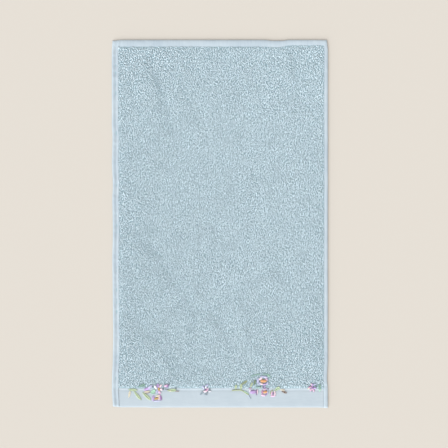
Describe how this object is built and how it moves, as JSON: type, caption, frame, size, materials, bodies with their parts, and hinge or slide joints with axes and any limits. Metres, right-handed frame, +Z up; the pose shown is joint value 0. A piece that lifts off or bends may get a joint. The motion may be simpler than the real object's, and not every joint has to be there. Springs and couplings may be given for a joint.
{
  "type": "hand towel",
  "caption": "Pale blue terry hand towel laid flat, with turned hems, a plain woven end band and small embroidered flower sprigs.",
  "frame": {"origin": "under the middle of the towel's box, on the surface it lies on", "axes": "+X across the width to the right, +Y along the length away from the plain end band, +Z up"},
  "size_m": [0.301, 0.5126, 0.0033],
  "materials": {
    "terry": "looped cotton pile, dull, pale blue-grey",
    "plain_weave": "smooth plain woven cotton, slight sheen, pale blue",
    "sewing_thread": "twisted polyester-cotton thread, slight sheen",
    "embroidery": "satin-stitched rayon thread, silky, lilac, violet, gold and soft green"
  },
  "bodies": {
    "root": {"towel": "terry"}
  },
  "joints": []
}
